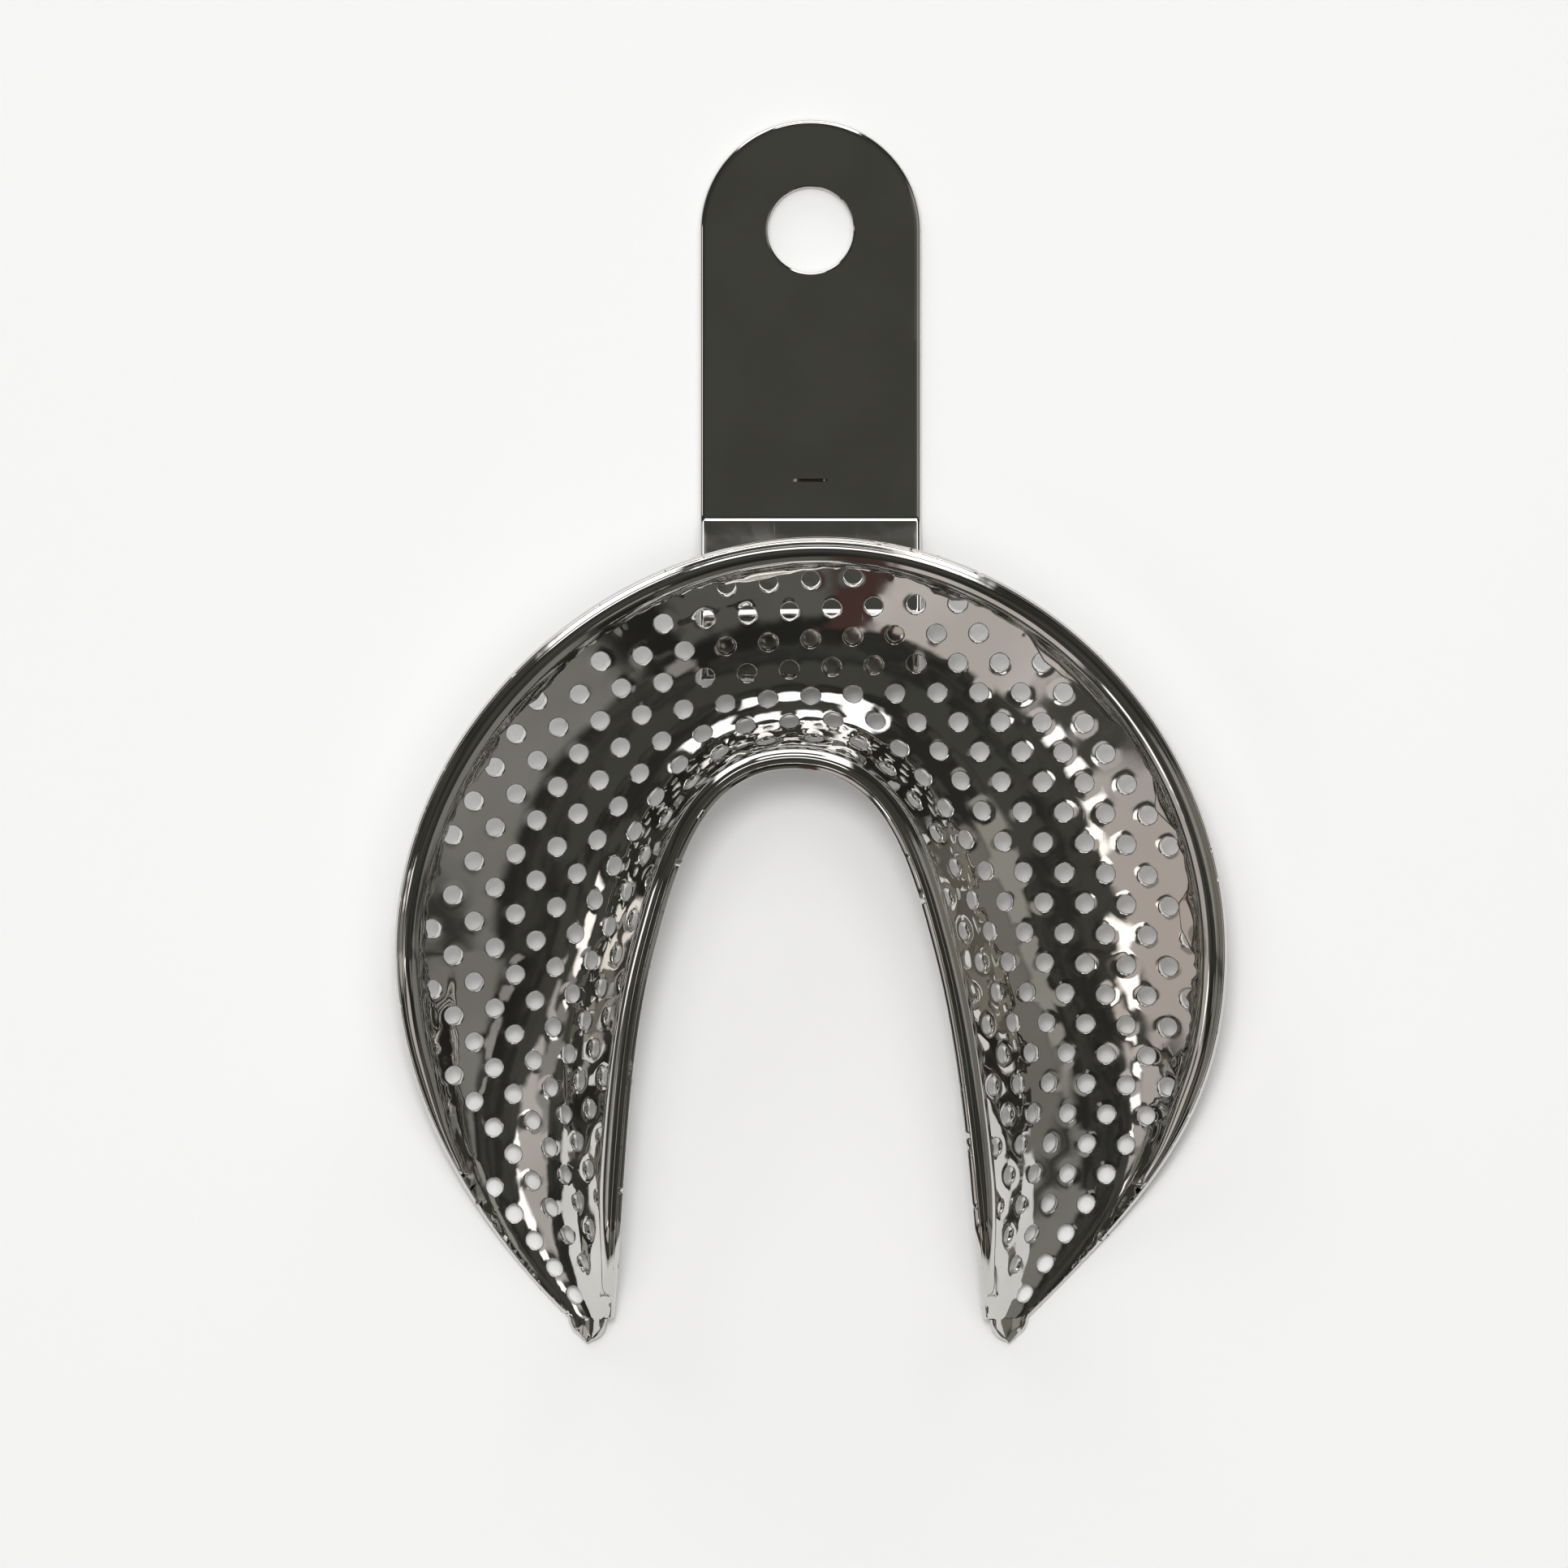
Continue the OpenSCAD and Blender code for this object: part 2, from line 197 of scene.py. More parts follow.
def wall(run, rise):
    angle = arch["wallBend"] * np.arctan2(rise, run)
    radius = (run * np.sin(angle) - rise * np.cos(angle)) / (1 - np.cos(angle))
    arc = radius * angle
    return angle, radius, arc, arc + (rise - radius * (1 - np.cos(angle))) / np.sin(angle)


def findSection(p):
    def ahead(side, t):
        o, i = outerEdge(side, t), innerEdge(side, t)
        return side * ((i - o)[:, 0] * (p - o)[:, 1] - (i - o)[:, 1] * (p - o)[:, 0])

    one = np.ones(len(p))
    side = np.where(ahead(one, 0 * one) > 0, 1.0, -1.0)
    low, high = 0 * one, 1 * one
    for _ in range(26):
        t = (low + high) / 2
        past = ahead(side, t) > 0
        low, high = np.where(past, t, low), np.where(past, high, t)
    t = (low + high) / 2
    half = np.linalg.norm(outerEdge(side, t) - innerEdge(side, t), axis=1) / 2
    turn = np.arcsin(np.clip((heelY - p[:, 1]) / half, 0, math.sin(math.radians(78))))
    turn = np.where(t > 0.9999, turn, 0)
    section = Section(side, t, turn)
    w = ((p - section.lowest) * section.across).sum(1)
    return side * t, section, w


# Underside of the sheet above a point of the flat blank: the blank keeps its plan
# outside the lowest line, and is measured along the sheet inside it
def surface(p):
    _, s, w = findSection(p)
    inward = w > 0
    angle, radius, arc, _ = wall(
        np.where(inward, s.innerRun, s.outerRun), np.where(inward, s.innerRise, s.outerRise)
    )
    bent = np.minimum(w / radius, angle)
    past = np.maximum(w - arc, 0)
    x = radius * np.sin(bent) + past * np.cos(angle)
    z = radius * (1 - np.cos(bent)) + past * np.sin(angle)
    d = np.abs(w)
    arcRun = radius * np.sin(angle)
    flatZ = np.where(
        d < arcRun,
        radius - np.sqrt(np.maximum(radius**2 - d**2, 0)),
        radius * (1 - np.cos(angle)) + (d - arcRun) * np.tan(angle),
    )
    plan = s.lowest + s.across * np.where(inward, x, w)[:, None]
    return np.column_stack([plan, s.floor + np.where(inward, z, flatZ)])


def slopes(p, reach=0.04):
    dx, dy = np.array([[reach, 0]]), np.array([[0, reach]])
    along = (surface(p + dx) - surface(p - dx)) / (2 * reach)
    up = (surface(p + dy) - surface(p - dy)) / (2 * reach)
    return along, up


def normals(p):
    along, up = slopes(p)
    n = unit(np.cross(along, up))
    return n * np.where(n[:, 2] < 0, -1, 1)[:, None]


# Meshes

def makeMesh(name, points, faces, material, smooth=True):
    mesh = bpy.data.meshes.new(name)
    points = np.array(points, dtype=float)
    points[:, 2] = np.clip(points[:, 2], 0, boxTop)
    mesh.from_pydata([tuple(p) for p in points * mm], [], faces)
    mesh.polygons.foreach_set("use_smooth", [smooth] * len(mesh.polygons))
    mesh.materials.append(material)
    mesh.update()
    piece = bpy.data.objects.new(name, mesh)
    bpy.context.scene.collection.objects.link(piece)
    return piece


# A flat one-layer mesh, given two faces, walls at every open edge, and rounded
# corners; returns flat points, heights and faces
def thicken(points, faces, thickness, rounding, bendAngles=(45, 90)):
    starts, ends = [], []
    for f in faces:
        starts += f
        ends += f[1:] + f[:1]
    pairs = set(zip(starts, ends))
    rim = [(a, b) for a, b in pairs if (b, a) not in pairs]
    rim.sort()
    out = np.zeros_like(points)
    for a, b in rim:
        d = points[b] - points[a]
        out[a] += (d[1], -d[0])
        out[b] += (d[1], -d[0])
    edge = sorted({a for pair in rim for a in pair})
    out = unit(out)
    inset = points.copy()
    rounding = rounding + 0 * points[:, 0]
    inset[edge] -= out[edge] * rounding[edge][:, None]
    count = len(points)
    flat, height = [inset], [np.full(count, thickness)]
    rows = [{a: a for a in edge}]
    base = count
    bends = [(math.radians(a), True) for a in bendAngles]
    bends += [(math.radians(a), False) for a in bendAngles[::-1]]
    for angle, upper in bends:
        step = rounding[edge] * (1 - math.sin(angle))
        drop = rounding[edge] * (1 - math.cos(angle))
        flat.append(points[edge] - out[edge] * step[:, None])
        height.append(thickness - drop if upper else drop)
        rows.append({a: base + k for k, a in enumerate(edge)})
        base += len(edge)
    flat.append(inset)
    height.append(np.zeros(count))
    rows.append({a: base + a for a in edge})
    result = [list(f) for f in faces] + [[base + a for a in reversed(f)] for f in faces]
    for upper, lower in zip(rows, rows[1:]):
        result += [[upper[a], lower[a], lower[b], upper[b]] for a, b in rim]
    return np.concatenate(flat), np.concatenate(height), result


# Geometry nodes

class NodeTree:
    def __init__(self, name, inputs):
        self.tree = bpy.data.node_groups.new(name, "GeometryNodeTree")
        face = self.tree.interface
        face.new_socket("Geometry", in_out="INPUT", socket_type="NodeSocketGeometry")
        self.names = {}
        for label, kind in inputs.items():
            self.names[label] = face.new_socket(label, in_out="INPUT", socket_type=kind).identifier
        face.new_socket("Geometry", in_out="OUTPUT", socket_type="NodeSocketGeometry")
        self.given = self.tree.nodes.new("NodeGroupInput").outputs

    def node(self, kind, settings=None, **inputs):
        made = self.tree.nodes.new(kind)
        for key, value in (settings or {}).items():
            setattr(made, key, value)
        for key, value in inputs.items():
            sockets = [s for s in made.inputs if s.name.replace(" ", "") == key and s.enabled]
            if isinstance(value, bpy.types.NodeSocket):
                self.tree.links.new(value, sockets[0])
            else:
                sockets[0].default_value = value
        return made

    def join(self, *parts):
        made = self.tree.nodes.new("GeometryNodeJoinGeometry")
        for part in parts:
            self.tree.links.new(part, made.inputs[0])
        return made.outputs[0]

    # Ends the tree, runs it on an object, and returns a plain mesh
    def run(self, piece, result, material, **values):
        real = self.node("GeometryNodeRealizeInstances", Geometry=result)
        painted = self.node("GeometryNodeSetMaterial", Geometry=real.outputs[0], Material=material)
        end = self.tree.nodes.new("NodeGroupOutput")
        self.tree.links.new(painted.outputs[0], end.inputs[0])
        modifier = piece.modifiers.new(self.tree.name, "NODES")
        modifier.node_group = self.tree
        for label, value in values.items():
            modifier[self.names[label]] = value
        graph = bpy.context.evaluated_depsgraph_get()
        mesh = bpy.data.meshes.new_from_object(piece.evaluated_get(graph), depsgraph=graph)
        piece.modifiers.remove(modifier)
        return mesh


def helper(name, points, edges=(), faces=()):
    mesh = bpy.data.meshes.new(name)
    mesh.from_pydata([tuple(p) for p in np.asarray(points) * mm], list(edges), list(faces))
    made = bpy.data.objects.new(name, mesh)
    bpy.context.scene.collection.objects.link(made)
    return made


# Shader nodes

class Shade:
    def __init__(self, tree, socket):
        self.tree, self.socket = tree, socket

    def maths(self, operation, first, second, third=0.0):
        made = self.tree.nodes.new("ShaderNodeMath")
        made.operation = operation
        for slot, value in zip(made.inputs, (first, second, third)):
            if isinstance(value, Shade):
                self.tree.links.new(value.socket, slot)
            else:
                slot.default_value = value
        return Shade(self.tree, made.outputs[0])

    def __add__(self, other): return self.maths("ADD", self, other)
    def __radd__(self, other): return self.maths("ADD", other, self)
    def __sub__(self, other): return self.maths("SUBTRACT", self, other)
    def __rsub__(self, other): return self.maths("SUBTRACT", other, self)
    def __mul__(self, other): return self.maths("MULTIPLY", self, other)
    def __rmul__(self, other): return self.maths("MULTIPLY", other, self)
    def __pow__(self, other): return self.maths("POWER", self, other)
    def above(self, edge, width): return self.ramped(edge, edge + width)

    def ramped(self, start, end, low=0.0, high=1.0):
        made = self.tree.nodes.new("ShaderNodeMapRange")
        made.interpolation_type = "SMOOTHSTEP"
        self.tree.links.new(self.socket, made.inputs["Value"])
        for label, value in (("From Min", start), ("From Max", end), ("To Min", low), ("To Max", high)):
            made.inputs[label].default_value = value
        return Shade(self.tree, made.outputs["Result"])


class Paint:
    def __init__(self, tree):
        self.tree = tree
        tree.nodes.clear()

    # A node of a type, with its settings first and then its sockets' values or links
    def add(self, kind, settings=None, inputs=None, out=0):
        made = self.tree.nodes.new(kind)
        for key, value in (settings or {}).items():
            if key == "stops":
                ramp = made.color_ramp
                while len(ramp.elements) < len(value):
                    ramp.elements.new(0.5)
                for element, (place, colour) in zip(ramp.elements, value):
                    element.position, element.color = place, (*colour, 1)
            else:
                setattr(made, key, value)
        for key, value in (inputs or {}).items():
            if isinstance(value, Shade):
                self.tree.links.new(value.socket, made.inputs[key])
            else:
                made.inputs[key].default_value = value
        return Shade(self.tree, made.outputs[out]) if made.outputs else None

    def mix(self, factor, first, second):
        made = self.tree.nodes.new("ShaderNodeMix")
        made.data_type = "RGBA"
        sockets = [s for s in made.inputs if s.enabled]
        for slot, value in zip((sockets[0], sockets[-2], sockets[-1]), (factor, first, second)):
            if isinstance(value, Shade):
                self.tree.links.new(value.socket, slot)
            elif isinstance(value, tuple):
                slot.default_value = (*value, 1)
            else:
                slot.default_value = value
        return Shade(self.tree, [s for s in made.outputs if s.enabled][0])


metal = {
    "steel": {"light": (0.70, 0.69, 0.665), "dark": (0.61, 0.60, 0.57), "tint": (0.62, 0.56, 0.50),
              "roughness": 0.035, "smudge": 0.05, "ripple": 0.12, "scratch": 0.05},
    "wire": {"light": (0.70, 0.69, 0.665), "dark": (0.60, 0.59, 0.56), "tint": (0.62, 0.57, 0.52),
             "roughness": 0.04, "smudge": 0.05, "ripple": 0.2, "scratch": 0.06},
    "solder": {"light": (0.72, 0.70, 0.66), "dark": (0.60, 0.585, 0.55), "tint": (0.60, 0.54, 0.46),
               "roughness": 0.05, "smudge": 0.08, "ripple": 0.3, "scratch": 0.03},
    "braze": {"light": (0.66, 0.63, 0.57), "dark": (0.50, 0.47, 0.42), "tint": (0.52, 0.43, 0.33),
              "roughness": 0.12, "smudge": 0.14, "ripple": 0.5, "scratch": 0.03},
    "strip": {"light": (0.70, 0.69, 0.665), "dark": (0.63, 0.62, 0.59), "tint": (0.64, 0.60, 0.55),
              "roughness": 0.035, "smudge": 0.04, "ripple": 0.03, "scratch": 0.05},
}


# Polished metal: cloudy colour, finger smudges, hand-polishing ripple and hairline scratches
def polishedMetal(name, look, mark=None):
    material = bpy.data.materials.new(name)
    material.use_nodes = True
    paint = Paint(material.node_tree)
    place = paint.add("ShaderNodeTexCoord", out="Object")
    cloud = paint.add("ShaderNodeTexNoise", None, {"Vector": place, "Scale": 90.0, "Detail": 3.0}, "Fac")
    heat = paint.add("ShaderNodeTexNoise", None, {"Vector": place, "Scale": 45.0, "Detail": 2.0}, "Fac")
    smear = paint.add(
        "ShaderNodeTexNoise", None,
        {"Vector": place, "Scale": 160.0, "Detail": 4.0, "Distortion": 1.2}, "Fac")
    hairs = paint.add(
        "ShaderNodeMapping", None,
        {"Vector": place, "Rotation": (0.0, 0.0, 0.6), "Scale": (5200.0, 260.0, 400.0)})
    hair = paint.add("ShaderNodeTexNoise", None, {"Vector": hairs, "Scale": 1.0, "Detail": 2.0}, "Fac")
    ripple = paint.add("ShaderNodeTexNoise", None, {"Vector": place, "Scale": 420.0, "Detail": 1.5}, "Fac")
    scratches = hair.ramped(0.66, 0.74) * smear.ramped(0.45, 0.6)
    colour = paint.mix(cloud.ramped(0.35, 0.65), look["dark"], look["light"])
    colour = paint.mix(heat.ramped(0.55, 0.75) * 0.6, colour, look["tint"])
    rough = look["roughness"] + smear.ramped(0.45, 0.7) * look["smudge"] + scratches * look["scratch"]
    relief = ripple * 0.000012 * look["ripple"] * 8 + scratches * -0.0000006
    bump = paint.add("ShaderNodeBump", None, {"Height": relief, "Strength": 1.0, "Distance": 1.0})
    if mark:  # the cut mark's floor gets a darker, rougher colour: its middle in Y, its half length and half width
        spot = paint.add("ShaderNodeSeparateXYZ", None, {"Vector": place}, "X")
        along = Shade(paint.tree, spot.socket.node.outputs["Y"])
        markDarkening = spot.maths("ABSOLUTE", spot, 0.0).ramped(mark[1] * mm + 0.00006, mark[1] * mm - 0.00002)
        off = along - mark[0] * mm
        markDarkening = markDarkening * off.maths("ABSOLUTE", off, 0.0).ramped(mark[2] * mm + 0.00004, mark[2] * mm - 0.00002)
        # over the cut mark's floor the colour goes dark brown-black and the roughness rises
        colour = paint.mix(markDarkening * 0.9, colour, (0.05, 0.035, 0.03))
        rough = rough + markDarkening * 0.3
    shader = paint.add(
        "ShaderNodeBsdfPrincipled", None,
        {"Base Color": colour, "Metallic": 1.0, "Roughness": rough, "Normal": bump})
    paint.add("ShaderNodeOutputMaterial", None, {"Surface": shader})
    return material


steelSheet = polishedMetal("polished sheet", metal["steel"])
steelWire = polishedMetal("polished wire", metal["wire"])
solderMetal = polishedMetal("silver solder", metal["solder"])
brazeMetal = polishedMetal("braze", metal["braze"])
steelStrip = polishedMetal("polished strip", metal["strip"], (frontY + 2.1 + 3.15, 1.2, 0.14))

# Perforated sheet

sheet = {
    "tipShare": 0.97,  # of the heel's half width, where the sheet ends
    "tipReach": 0.4,
    "tipSpacing": 0.3,
    "thickness": 0.6,
    "holeDiameter": 1.7,
    "holePitch": 3.82,
    "rowPitch": 2.72,
    "firstRow": 3.6,
    "rowBow": 2.5,
    "bowShift": 19.0,
    "edgeRounding": 0.09,
    "dish": 0.028,  # depth to which the sheet is drawn down round a perforation
    "dishWidth": 0.45,
    "longWave": 0.030,  # heights and lengths of the waves left by the pressing
    "longWaveLength": 11.0,
    "shortWave": 0.012,
    "shortWaveLength": 4.4,
    "dimple": 0.07,  # depth of the closed perforations beside the rims
    "rimAllowance": 2.0,  # bare sheet and most of the wire
}
holeRadius = sheet["holeDiameter"] / 2


def waves(p, w):
    def layer(seed, length, terms=10):
        rng = np.random.default_rng(seed)
        total = 0
        for _ in range(terms):
            k = 2 * math.pi / (length * rng.uniform(0.7, 1.5))
            heading, phase = rng.uniform(0, 2 * math.pi, 2)
            total = total + np.sin(k * (p[:, 0] * math.cos(heading) + p[:, 1] * math.sin(heading)) + phase)
        return total / terms**0.5

    uneven = np.maximum(ramp(p[:, 0], 4, 22), ramp(w, 2, 6) * 0.8)
    return (sheet["longWave"] * layer(7, sheet["longWaveLength"]) * (0.5 + 0.5 * uneven)
            + sheet["shortWave"] * layer(8, sheet["shortWaveLength"]) * (0.12 + 0.88 * uneven))


def bow(x):
    return sheet["rowBow"] * (1 - ((x - sheet["bowShift"]) / archRadius) ** 2)


def edgeRuns(section):
    return section.outerRun, section.innerLength


rimmed = (23 / 26, 27 / 26)  # how far the rims keep the perforations off the edge


def isPierced(p):
    q, s, w = findSection(p)
    t = np.abs(q)
    outerRun, innerLength = edgeRuns(s)
    outerRoom = holeRadius + np.where(t < rimmed[0], sheet["rimAllowance"], 1)
    innerRoom = holeRadius + np.where(t < rimmed[1], sheet["rimAllowance"], 1)
    return (t < 0.985) & np.where(w < 0, -w < outerRun - outerRoom, w < innerLength - innerRoom)


pitch, rowStep = sheet["holePitch"], sheet["rowPitch"]
rows = range(-3, math.ceil((frontY - heelY) / rowStep) + 3)
columns = range(-12, 13)
sites = np.array(
    [((j + (i % 2) / 2) * pitch, frontY - sheet["firstRow"] - i * rowStep) for i in rows for j in columns]
)
bowed = sites + np.column_stack([0 * sites[:, 0], bow(sites[:, 0]) - bow(0)])
q, s, w = findSection(bowed)
margin = 2.6
near = (-w < s.outerRun + margin) & (w < s.innerLength + margin) & (bowed[:, 1] > heelY - 4.2)
sites, bowed = sites[near], bowed[near]
pierced = isPierced(bowed)
print("perforations:", int(pierced.sum()), "plain cells:", int((~pierced).sum()))

# A cell of the sheet: rings from the perforation out to the hexagon that it
# shares with its neighbours
cornerY = (rowStep**2 - pitch**2 / 4) / (2 * rowStep)
peakY = (rowStep**2 + pitch**2 / 4) / (2 * rowStep)
corners = np.array(
    [(pitch / 2, -cornerY), (pitch / 2, cornerY), (0, peakY),
     (-pitch / 2, cornerY), (-pitch / 2, -cornerY), (0, -peakY)]
)
perSide = 4
ringShares = (0, 0.12, 0.28, 0.5, 0.74, 1)
plainShares = (0, 0.17, 0.36, 0.65, 1)
hexagon = np.concatenate(
    [corners[k] + (corners[(k + 1) % 6] - corners[k]) * (np.arange(perSide) / perSide)[:, None]
     for k in range(6)]
)
around = len(hexagon)


def cell(shares, radius, closed):
    circle = unit(hexagon) * radius
    rings = [circle + (hexagon - circle) * share for share in shares]
    points = np.concatenate(rings)
    faces = []
    for r in range(len(rings) - 1):
        for k in range(around):
            a, b = r * around + k, r * around + (k + 1) % around
            faces.append([a, a + around, b + around, b])
    if closed:
        points = np.concatenate([points, [[0, 0]]])
        faces += [[len(points) - 1, k, (k + 1) % around] for k in range(around)]
    return np.column_stack([points, 0 * points[:, 0]]), faces


cellPoints, cellFaces = cell(ringShares, holeRadius, False)
openCell = helper("open cell", cellPoints, faces=cellFaces)
cellPoints, cellFaces = cell(plainShares, 0.25, True)
plainCell = helper("plain cell", cellPoints, faces=cellFaces)
blank = helper("blank", np.column_stack([sites, 0 * sites[:, 0]]))
blank.data.attributes.new("pierced", "BOOLEAN", "POINT").data.foreach_set("value", pierced)

punch = NodeTree("perforated blank", {
    "Open cell": "NodeSocketObject", "Plain cell": "NodeSocketObject", "Weld": "NodeSocketFloat"})
flag = punch.node("GeometryNodeInputNamedAttribute", {"data_type": "BOOLEAN"}, Name="pierced")
plain = punch.node("FunctionNodeBooleanMath", {"operation": "NOT"}, Boolean=flag.outputs["Attribute"])
openShape = punch.node("GeometryNodeObjectInfo", Object=punch.given["Open cell"])
plainShape = punch.node("GeometryNodeObjectInfo", Object=punch.given["Plain cell"])
openOnes = punch.node(
    "GeometryNodeInstanceOnPoints", Points=punch.given["Geometry"],
    Selection=flag.outputs["Attribute"], Instance=openShape.outputs["Geometry"])
plainOnes = punch.node(
    "GeometryNodeInstanceOnPoints", Points=punch.given["Geometry"],
    Selection=plain.outputs[0], Instance=plainShape.outputs["Geometry"])
allCells = punch.join(openOnes.outputs[0], plainOnes.outputs[0])
cells = punch.node("GeometryNodeRealizeInstances", Geometry=allCells)
welded = punch.node("GeometryNodeMergeByDistance", Geometry=cells.outputs[0], Distance=punch.given["Weld"])
flatMesh = punch.run(
    blank, welded.outputs[0], steelSheet,
    **{"Open cell": openCell, "Plain cell": plainCell, "Weld": 0.00001})
points = np.zeros(len(flatMesh.vertices) * 3)
flatMesh.vertices.foreach_get("co", points)
points = points.reshape(-1, 3)[:, :2] / mm
faces = [list(f.vertices) for f in flatMesh.polygons]
for extra in (openCell, plainCell, blank):
    bpy.data.objects.remove(extra)
print("blank:", len(points), "points", len(faces), "faces")


# Nearest perforation of each point, as its index and distance
def nearest(p, centres):
    index = np.zeros(len(p), int)
    for start in range(0, len(p), 4000):
        gap = p[start:start + 4000, None] - centres[None]
        index[start:start + 4000] = (gap**2).sum(2).argmin(1)
    return index, np.linalg.norm(p - centres[index], axis=1)


index, reach = nearest(points, sites)
inCell = 1 - ramp(reach, 1.0, 1.62)
lift = bow(sites[index, 0]) * inCell + bow(points[:, 0]) * (1 - inCell) - bow(0)
points = points + np.column_stack([0 * lift, lift])
# Where the sheet spreads as it is pressed, a perforation keeps its size
siteAlong, siteUp = slopes(bowed)
_, _, siteW = findSection(bowed)
fixes = []
for a, b, depth in zip(siteAlong, siteUp, siteW):
    metric = np.array([[a @ a, a @ b], [a @ b, b @ b]])
    values, vectors = np.linalg.eigh(metric)
    fixes.append(vectors @ np.diag(values**-0.5) @ vectors.T if depth > 0 else np.eye(2))
fixes = np.array(fixes) - np.eye(2)
offset = points - bowed[index]
points = points + np.einsum("nij,nj->ni", fixes[index], offset) * (inCell * pierced[index])[:, None]


# Trims the blank to the arch: what lies outside is moved to the edge, faces that
# were all outside go, and points left almost together on the edge become one
def trimmed(p, shapes):
    q, s, w = findSection(p)
    side, one = np.sign(q + 1e-9), 0 * q + 1
    heels = outerEdge(side, one), innerEdge(side, one)
    middle, half = (heels[0] + heels[1]) / 2, np.linalg.norm(heels[0] - heels[1], axis=1) / 2
    atTip = p[:, 1] < heelY
    away = p - middle
    far = np.linalg.norm(away, axis=1)
    outside = np.where(atTip, far > half * sheet["tipShare"], (-w > s.outerRun) | (w > s.innerLength))
    held = s.lowest + s.across * np.clip(w, -s.outerRun, s.innerLength)[:, None]
    onCircle = middle + away / far[:, None] * (half * sheet["tipShare"])[:, None]
    held = np.where(atTip[:, None], onCircle, held)
    kept = np.where(outside[:, None], held, p)
    shapes = [f for f in shapes if not outside[f].all()]
    edge = np.array(sorted({a for f in shapes for a in f if outside[a]}))
    merged = np.arange(len(p))
    for k, a in enumerate(edge):
        if merged[a] == a:
            later = edge[k + 1:]
            close = later[np.linalg.norm(kept[later] - kept[a], axis=1) < 0.16]
            merged[close] = a
    tidy = []
    for f in shapes:
        f = [merged[a] for a in f]
        f = [a for k, a in enumerate(f) if a != f[k - 1]]
        if len(set(f)) == len(f) > 2:
            x, y = kept[f, 0], kept[f, 1]
            if (x * np.roll(y, -1) - y * np.roll(x, -1)).sum() > 0.01:
                tidy.append(f)
    used = sorted({a for f in tidy for a in f})
    order = {a: k for k, a in enumerate(used)}
    return roundedTips(kept[used], [[order[a] for a in f] for f in tidy])


# Long edges round the tips get more points, which lie on the tip's circle
def roundedTips(p, shapes):
    pairs = {(a, b) for f in shapes for a, b in zip(f, f[1:] + f[:1])}
    more, result = list(p), []
    for f in shapes:
        longer = []
        for a, b in zip(f, f[1:] + f[:1]):
            longer.append(a)
            if (b, a) in pairs or max(p[a][1], p[b][1]) > heelY + sheet["tipReach"]:
                continue
            side = np.sign(p[[a]][:, 0])
            ends = outerEdge(side, side**2)[0], innerEdge(side, side**2)[0]
            middle = (ends[0] + ends[1]) / 2
            radius = np.linalg.norm(ends[0] - ends[1]) / 2 * sheet["tipShare"]
            steps = int(np.linalg.norm(p[b] - p[a]) / sheet["tipSpacing"])
            for k in range(1, steps + 1):
                toward = p[a] + (p[b] - p[a]) * k / (steps + 1) - middle
                longer.append(len(more))
                more.append(middle + toward / np.linalg.norm(toward) * radius)
        result.append(longer)
    return np.array(more), result


points, faces = trimmed(points, faces)
flat, height, faces = thicken(points, faces, sheet["thickness"], sheet["edgeRounding"])
index, reach = nearest(flat, bowed)
q, s, w = findSection(flat)
inside = np.minimum(w + s.outerRun, s.innerLength - w)
siteSection = findSection(bowed)[1]
siteEdge = np.minimum(siteW + siteSection.outerRun, siteSection.innerLength - siteW)
lot = np.random.default_rng(5).uniform(0, 1, len(bowed))
beside = ~pierced & (siteEdge > 2.1) & (siteEdge < 3.4) & (siteW < 0) & (lot > 0.25)
drawn = 0.45 + 0.85 * np.maximum(ramp(bowed[:, 0], 4, 20), ramp(siteW, 2, 6))
dip = -sheet["dish"] * (1 - ramp(reach - holeRadius, 0, sheet["dishWidth"])) * (pierced * drawn)[index]
dip = dip - sheet["dimple"] * np.exp(-((reach / 0.36) ** 2)) * (beside * (0.4 + 0.6 * lot))[index]
swell = waves(flat, w) * ramp(inside, 1.0, 4.0)
shellPoints = surface(flat) + normals(flat) * (height + swell + dip * height / sheet["thickness"])[:, None]
shell = makeMesh("perforatedSheet", shellPoints, faces, steelSheet)
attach(shell, "root")
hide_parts("tray_shell")
print("perforated sheet:", len(faces), "faces")

# Rims

rim = {
    "wireWidth": 2.3,
    "wireHeight": 0.95,
    "film": 0.06,  # solder under the wire
    "lip": 0.2,
    "toe": 0.35,  # least reach of the solder past the wire
    "toeSpread": 1.3,  # how much further the solder has run in places
    "toeHeight": 0.10,
    "stations": 300,
    "ends": {"outer": 21 / 26, "inner": 25 / 26},
    "thinning": {"outer": 0.6, "inner": 0.4},
}


# Frames along a rim: the sheet's upper edge, the way into the channel, the normal
def rimFrames(name, q):
    side, t = np.where(q < 0, -1.0, 1.0), np.abs(q)
    s = Section(side, t, 0 * t)
    if name == "outer":
        edge, inward = s.outer, s.across
    else:
        edge, inward = s.lowest + s.across * s.innerLength[:, None], -s.across
    n = normals(edge)
    into = surface(edge + inward * 0.05) - surface(edge)
    into = unit(into - n * (into * n).sum(1)[:, None])
    return surface(edge) + n * sheet["thickness"], into, n


def thinning(q, name):
    end = rim["ends"][name]
    return 1 - rim["thinning"][name] * ramp(np.abs(q), end - 4 / 26, end)


def rimPath(name):
    end = rim["ends"][name]
    q = np.linspace(-end, end, rim["stations"] + 1)
    return q, *rimFrames(name, q), thinning(q, name)


# A point of the half-round wire's section: distance from the sheet's edge, height
def wireSpot(angle):
    x = rim["lip"] + rim["wireWidth"] / 2 * (1 + math.cos(angle))
    return x, rim["film"] + rim["wireHeight"] * math.sin(angle) ** 0.92


